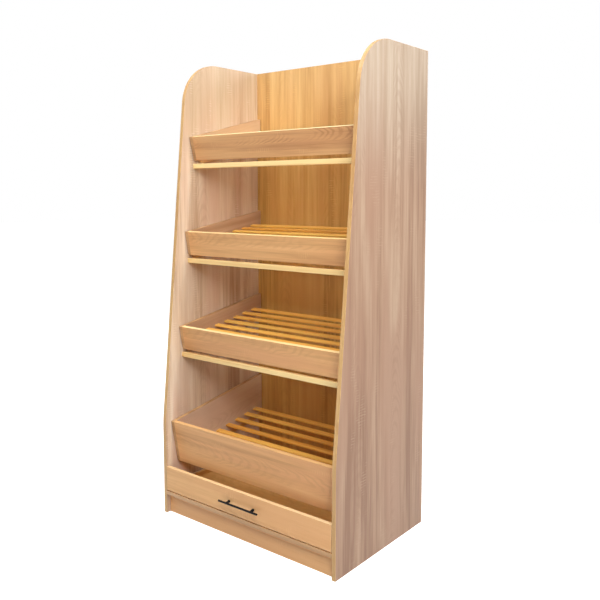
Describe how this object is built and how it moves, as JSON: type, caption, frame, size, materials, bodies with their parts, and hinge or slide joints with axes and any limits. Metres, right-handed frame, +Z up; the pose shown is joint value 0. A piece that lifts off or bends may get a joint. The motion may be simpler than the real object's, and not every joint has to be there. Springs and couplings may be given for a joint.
{
  "type": "bakery bread rack",
  "caption": "Free-standing bakery bread rack of oak-look board with leaning side panels, tilted slatted trays and a crumb drawer with a bar handle.",
  "frame": {"origin": "on the floor, under the middle of the whole object, handle included; the carcass alone is centred 13 mm behind it", "axes": "+Z up; +X across the rack, to the right for someone who faces its open front; +Y from the front to the back"},
  "size_m": [0.9, 0.626, 1.9],
  "materials": {
    "oak_side_board": "pale oak print, satin melamine, grain upright",
    "oak_back_board": "pale oak print, satin melamine, grain upright",
    "oak_cross_board": "pale oak print, satin melamine, grain across",
    "oak_edge_band": "warm oak print edge band, satin",
    "pale_pine": "planed pale pine, matt varnish",
    "bearer_pine": "planed pine",
    "zinc": "bright zinc plate",
    "beech": "fluted beech dowel",
    "tray_board": "pale oak print, satin melamine, grain along the board",
    "tray_edge_band": "light oak print edge band, satin",
    "slat_pine": "planed pine, satin varnish",
    "drawer_board": "pale oak print, satin melamine",
    "black_handle": "matt black powder coat",
    "runner_enamel": "cream white enamel",
    "roller_nylon": "white nylon"
  },
  "bodies": {
    "carcass": {"back_panel": "oak_back_board", "base_board": "oak_cross_board", "board_edge_bands": "oak_edge_band", "carcass_cam_fittings": "zinc", "carcass_dowels": "beech", "left_cabinet_runner": "runner_enamel", "left_panel_edge_band": "oak_edge_band", "left_side_panel": "oak_side_board", "lower_stretcher": "pale_pine", "middle_stretcher": "pale_pine", "plinth_board": "oak_cross_board", "right_cabinet_runner": "runner_enamel", "right_panel_edge_band": "oak_edge_band", "right_side_panel": "oak_side_board", "side_panel_screws": "zinc", "top_stretcher": "pale_pine", "tray_1_bearers": "bearer_pine", "tray_2_bearers": "bearer_pine", "tray_3_bearers": "bearer_pine", "tray_4_bearers": "bearer_pine"},
    "drawer": {"drawer_front": "oak_cross_board", "drawer_front_edge_band": "oak_edge_band", "drawer_left_side": "drawer_board", "drawer_right_side": "drawer_board", "drawer_back": "drawer_board", "drawer_bottom": "drawer_board", "drawer_handle": "black_handle", "handle_screws": "zinc", "drawer_fittings": "zinc", "left_drawer_runner": "runner_enamel", "right_drawer_runner": "runner_enamel"},
    "left_front_roller": {"left_front_roller": "roller_nylon"},
    "right_front_roller": {"right_front_roller": "roller_nylon"},
    "left_rear_roller": {"left_rear_roller": "roller_nylon"},
    "right_rear_roller": {"right_rear_roller": "roller_nylon"},
    "tray_1": {"tray_1_front_board": "tray_board", "tray_1_left_side": "tray_board", "tray_1_right_side": "tray_board", "tray_1_slats": "slat_pine", "tray_1_edge_bands": "tray_edge_band", "tray_1_screws": "zinc"},
    "tray_2": {"tray_2_front_board": "tray_board", "tray_2_left_side": "tray_board", "tray_2_right_side": "tray_board", "tray_2_slats": "slat_pine", "tray_2_edge_bands": "tray_edge_band", "tray_2_screws": "zinc"},
    "tray_3": {"tray_3_front_board": "tray_board", "tray_3_left_side": "tray_board", "tray_3_right_side": "tray_board", "tray_3_slats": "slat_pine", "tray_3_edge_bands": "tray_edge_band", "tray_3_screws": "zinc"},
    "tray_4": {"tray_4_front_board": "tray_board", "tray_4_left_side": "tray_board", "tray_4_right_side": "tray_board", "tray_4_slats": "slat_pine", "tray_4_edge_bands": "tray_edge_band", "tray_4_screws": "zinc"}
  },
  "joints": [
    {"name": "drawer_slide", "type": "slide", "parent": "carcass", "child": "drawer", "axis": [0, -1, 0], "range_m": [0, 0.375]},
    {"name": "left_front_roller_spin", "type": "hinge", "parent": "carcass", "child": "left_front_roller", "pos_m": [-0.4274, -0.255, 0.116], "axis": [1, 0, 0], "range_deg": [0, 3075]},
    {"name": "left_rear_roller_spin", "type": "hinge", "parent": "drawer", "child": "left_rear_roller", "pos_m": [-0.4274, 0.21825, 0.1168], "axis": [1, 0, 0], "range_deg": [0, 2533]},
    {"name": "right_front_roller_spin", "type": "hinge", "parent": "carcass", "child": "right_front_roller", "pos_m": [0.4274, -0.255, 0.116], "axis": [1, 0, 0], "range_deg": [0, 3075]},
    {"name": "right_rear_roller_spin", "type": "hinge", "parent": "drawer", "child": "right_rear_roller", "pos_m": [0.4274, 0.21825, 0.1168], "axis": [1, 0, 0], "range_deg": [0, 2533]},
    {"name": "tray_1_draw_out", "type": "slide", "parent": "carcass", "child": "tray_1", "axis": [0, -1, 0], "range_m": [0, 0.35]},
    {"name": "tray_2_draw_out", "type": "slide", "parent": "carcass", "child": "tray_2", "axis": [0, -1, 0], "range_m": [0, 0.35]},
    {"name": "tray_3_draw_out", "type": "slide", "parent": "carcass", "child": "tray_3", "axis": [0, -1, 0], "range_m": [0, 0.35]},
    {"name": "tray_4_draw_out", "type": "slide", "parent": "carcass", "child": "tray_4", "axis": [0, -1, 0], "range_m": [0, 0.35]}
  ],
  "couplings": [
    {"joint": "left_front_roller_spin", "follows": "drawer_slide", "rad_per_m": 142.86},
    {"joint": "left_rear_roller_spin", "follows": "drawer_slide", "rad_per_m": 117.65},
    {"joint": "right_front_roller_spin", "follows": "drawer_slide", "rad_per_m": 142.86},
    {"joint": "right_rear_roller_spin", "follows": "drawer_slide", "rad_per_m": 117.65}
  ]
}
